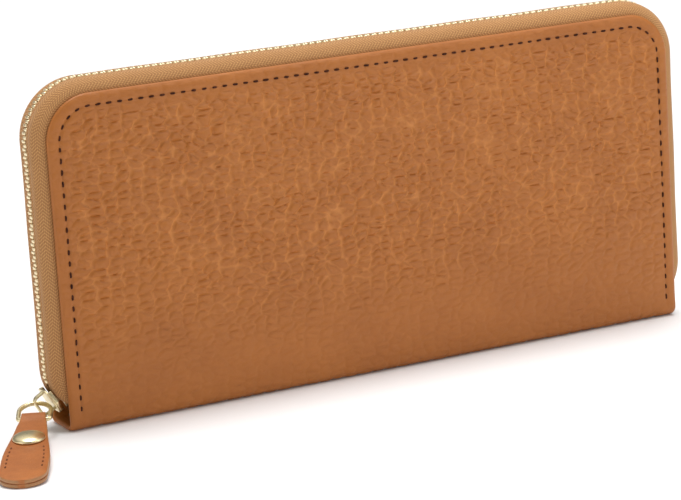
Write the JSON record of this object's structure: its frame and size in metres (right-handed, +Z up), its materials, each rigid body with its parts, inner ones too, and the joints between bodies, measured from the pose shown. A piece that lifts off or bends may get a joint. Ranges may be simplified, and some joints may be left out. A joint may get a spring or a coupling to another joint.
{
  "type": "zip around wallet",
  "caption": "Long zip-around wallet in grained leather with padded covers, card slots, a zipped coin pocket, a metal zip slider and a riveted leather puller.",
  "frame": {"origin": "centre of the flat underside of the spine, which the wallet stands on", "axes": "+X along the spine, away from the zip slider's resting end; +Y from the front cover to the back cover; +Z up, towards the zip along the top"},
  "size_m": [0.2252, 0.0561, 0.093],
  "materials": {
    "outer_leather": "grained, satin",
    "inner_leather": "smooth, satin",
    "lining_fabric": "fine weave, matte",
    "zip_tape": "herringbone weave, matte",
    "thread": "matte",
    "brass": "polished, pale gold",
    "foam": "matte",
    "board": "matte"
  },
  "bodies": {
    "root": {"spine_leather": "outer_leather", "spine_board": "board", "spine_lining": "lining_fabric", "spine_stitching": "thread", "coin_pocket_front": "lining_fabric", "coin_pocket_back": "lining_fabric", "coin_zip_tape_front": "zip_tape", "coin_zip_tape_back": "zip_tape", "coin_zip_teeth_front": "brass", "coin_zip_teeth_back": "brass", "coin_zip_stops": "brass", "gusset_front_left": "inner_leather", "gusset_front_right": "inner_leather", "gusset_back_left": "inner_leather", "gusset_back_right": "inner_leather"},
    "front_cover": {"front_leather": "outer_leather", "front_padding": "foam", "front_lining": "lining_fabric", "front_stitching": "thread", "front_zip_tape": "zip_tape", "front_zip_teeth": "brass", "front_zip_stops": "brass", "front_card_panel": "lining_fabric", "front_card_slots_left": "inner_leather", "front_card_slots_right": "inner_leather"},
    "back_cover": {"back_leather": "outer_leather", "back_padding": "foam", "back_lining": "lining_fabric", "back_stitching": "thread", "back_zip_tape": "zip_tape", "back_zip_teeth": "brass", "back_zip_stops": "brass", "back_card_panel": "lining_fabric", "back_card_slots_left": "inner_leather", "back_card_slots_right": "inner_leather"},
    "coin_slider": {"coin_slider_body": "brass", "coin_slider_bail": "brass"},
    "coin_tab": {"coin_pull_tab": "brass"},
    "slider_core": {"slider_core_pin": "brass"},
    "slider": {"slider_outer_wing": "brass", "slider_inner_wing": "brass", "slider_bail": "brass"},
    "ring": {"puller_ring": "brass"},
    "puller": {"puller_leather": "outer_leather", "puller_stitching": "thread", "rivet_cap": "brass", "rivet_post": "brass"}
  },
  "joints": [
    {"name": "front_cover_fold", "type": "hinge", "parent": "root", "child": "front_cover", "pos_m": [0, -0.0075, 0.004], "axis": [1, 0, 0], "range_deg": [0, 32], "deforming": ["front_zip_tape", "back_zip_tape", "front_zip_teeth", "back_zip_teeth", "front_zip_stops", "back_zip_stops", "gusset_front_left", "gusset_front_right"]},
    {"name": "back_cover_fold", "type": "hinge", "parent": "root", "child": "back_cover", "pos_m": [0, 0.0075, 0.004], "axis": [-1, 0, 0], "range_deg": [0, 32], "deforming": ["gusset_back_left", "gusset_back_right"]},
    {"name": "zip_slide", "type": "slide", "parent": "root", "child": "slider_core", "axis": [-0.0302, 0, 0.9995], "range_m": [0, 0.062]},
    {"name": "slider_turn", "type": "hinge", "parent": "slider_core", "child": "slider", "pos_m": [-0.09582, 0, 0.009], "axis": [0, 1, 0], "range_deg": [0, 30]},
    {"name": "ring_swing", "type": "hinge", "parent": "slider", "child": "ring", "pos_m": [-0.09881, 0, 0.00728], "axis": [-0.8988, 0.4384, 0], "range_deg": [0, 20]},
    {"name": "puller_swing", "type": "hinge", "parent": "ring", "child": "puller", "pos_m": [-0.10408, -0.00579, 0.00526], "axis": [-0.8988, 0.4384, 0], "range_deg": [0, 25]},
    {"name": "coin_zip_slide", "type": "slide", "parent": "root", "child": "coin_slider", "axis": [-1, 0, 0], "range_m": [0, 0.145], "deforming": ["coin_zip_teeth_front", "coin_zip_teeth_back", "coin_zip_tape_front", "coin_zip_tape_back"]},
    {"name": "coin_tab_swing", "type": "hinge", "parent": "coin_slider", "child": "coin_tab", "pos_m": [0.079, 0, 0.0805], "axis": [0, 1, 0], "range_deg": [0, 30]}
  ],
  "couplings": [
    {"joint": "slider_turn", "follows": "zip_slide", "rad_per_m": 8.44}
  ]
}
